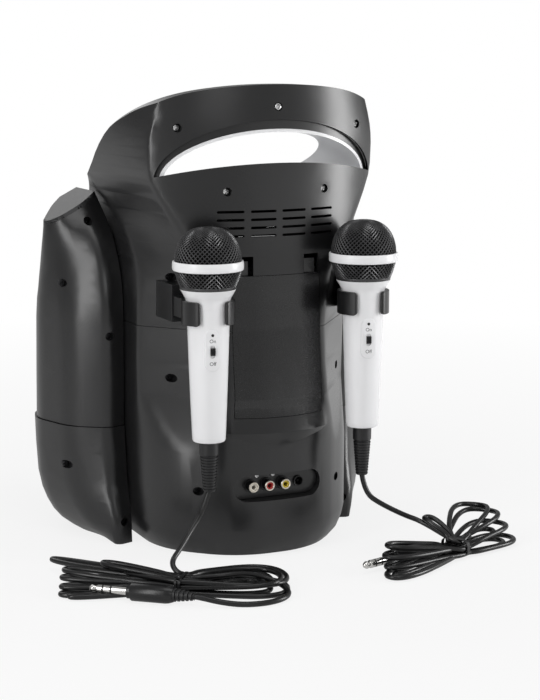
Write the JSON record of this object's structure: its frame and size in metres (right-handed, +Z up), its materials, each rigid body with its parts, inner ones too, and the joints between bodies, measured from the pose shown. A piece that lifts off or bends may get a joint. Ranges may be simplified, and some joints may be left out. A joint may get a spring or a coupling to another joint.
{
  "type": "portable karaoke machine",
  "caption": "Portable karaoke machine with a hooded disc deck, carry handle, side pods and wired microphones held in rear clips.",
  "frame": {"origin": "floor level, at the middle of the cabinet and its microphones seen from above, cords left out", "axes": "+Z is up. +Y points out of the rear face, which has the battery door and the microphones. +X points to the left as seen by someone standing behind the machine, so every node named left is at +X."},
  "size_m": [0.3962, 0.3257, 0.374],
  "materials": {
    "body_black": "fine-grained satin black moulding",
    "deck_grey": "smooth light grey moulding",
    "liner_white": "smooth white moulding",
    "cap_grey": "satin dark grey moulding",
    "mic_white": "glossy white lacquer",
    "mesh_black": "black woven wire",
    "rubber_black": "matt black rubber",
    "clear_window": "clear smoked window",
    "display_dark": "dark glossy window",
    "steel": "bright zinc-plated steel",
    "dark_steel": "blackened steel",
    "board_green": "green solder mask",
    "lens_clear": "clear ribbed lens",
    "plug_metal": "nickel-plated plug in a black sleeve"
  },
  "bodies": {
    "cabinet": {"rear_cover_lower": "body_black", "rear_cover_upper": "body_black", "front_shell": "body_black", "base_plate": "body_black", "rubber_feet": "rubber_black", "battery_box": "body_black", "handle_bezel": "body_black", "hood_liner": "liner_white", "top_deck": "deck_grey", "av_plate": "body_black", "rca_jacks": "steel", "dc_jack": "body_black", "circuit_boards": "board_green", "cover_screws": "dark_steel", "silver_screws": "steel", "left_pod_shell": "body_black", "right_pod_shell": "body_black", "left_pod_boot": "body_black", "right_pod_boot": "body_black", "pod_caps": "cap_grey", "pod_lenses": "lens_clear", "pod_speakers": "dark_steel", "speaker_ring": "deck_grey", "speaker_grille": "mesh_black", "speaker_driver": "dark_steel", "display_window": "display_dark", "control_panel": "deck_grey", "mic_sockets": "body_black", "disc_well": "body_black", "spindle_motor": "steel", "sled_rails": "steel", "left_mic_body": "mic_white", "right_mic_body": "mic_white", "left_mic_grille": "mesh_black", "right_mic_grille": "mesh_black", "mic_bands": "mic_white", "mic_switch_plates": "mic_white", "mic_reliefs": "rubber_black", "mic_clips": "body_black", "left_cord": "rubber_black", "left_hank": "rubber_black", "left_tie": "rubber_black", "left_plug": "plug_metal", "right_cord": "rubber_black", "right_hank": "rubber_black", "right_tie": "rubber_black", "right_plug": "plug_metal"},
    "battery_door": {"battery_door": "body_black"},
    "lid": {"disc_lid": "deck_grey", "lid_window": "clear_window"},
    "spindle": {"spindle_hub": "body_black"},
    "sled": {"laser_sled": "body_black"},
    "button_one": {"button_1": "cap_grey"},
    "button_two": {"button_2": "cap_grey"},
    "button_three": {"button_3": "cap_grey"},
    "button_four": {"button_4": "cap_grey"},
    "knob_left": {"left_knob": "body_black"},
    "knob_right": {"right_knob": "body_black"},
    "switch_left": {"left_mic_switch": "body_black"},
    "switch_right": {"right_mic_switch": "body_black"}
  },
  "joints": [
    {"name": "battery_door_slide", "type": "slide", "parent": "cabinet", "child": "battery_door", "axis": [0, 1, 0], "range_m": [0, 0.03]},
    {"name": "disc_lid_hinge", "type": "hinge", "parent": "cabinet", "child": "lid", "pos_m": [0, 0.03358, 0.29902], "axis": [-1, 0, 0], "range_deg": [0, 60]},
    {"name": "spindle_turn", "type": "hinge", "parent": "cabinet", "child": "spindle", "pos_m": [0, -0.032, 0.27158], "axis": [0, -0.3387, 0.9409], "continuous": true},
    {"name": "sled_slide", "type": "slide", "parent": "cabinet", "child": "sled", "axis": [1, 0, 0], "range_m": [0, 0.025]},
    {"name": "button_one_press", "type": "slide", "parent": "cabinet", "child": "button_one", "axis": [0, 1, 0], "range_m": [0, 0.0012], "stiffness_N_per_m": 400, "springref_m": -0.001},
    {"name": "button_two_press", "type": "slide", "parent": "cabinet", "child": "button_two", "axis": [0, 1, 0], "range_m": [0, 0.0012], "stiffness_N_per_m": 400, "springref_m": -0.001},
    {"name": "button_three_press", "type": "slide", "parent": "cabinet", "child": "button_three", "axis": [0, 1, 0], "range_m": [0, 0.0012], "stiffness_N_per_m": 400, "springref_m": -0.001},
    {"name": "button_four_press", "type": "slide", "parent": "cabinet", "child": "button_four", "axis": [0, 1, 0], "range_m": [0, 0.0012], "stiffness_N_per_m": 400, "springref_m": -0.001},
    {"name": "left_knob_turn", "type": "hinge", "parent": "cabinet", "child": "knob_left", "pos_m": [0.05, -0.115, 0.214], "axis": [0, -1, 0], "range_deg": [-150, 150]},
    {"name": "right_knob_turn", "type": "hinge", "parent": "cabinet", "child": "knob_right", "pos_m": [-0.05, -0.115, 0.214], "axis": [0, -1, 0], "range_deg": [-150, 150]},
    {"name": "left_mic_switch_slide", "type": "slide", "parent": "cabinet", "child": "switch_left", "axis": [0, 0, 1], "range_m": [-0.0015, 0.0015]},
    {"name": "right_mic_switch_slide", "type": "slide", "parent": "cabinet", "child": "switch_right", "axis": [0, 0, 1], "range_m": [-0.0015, 0.0015]}
  ]
}
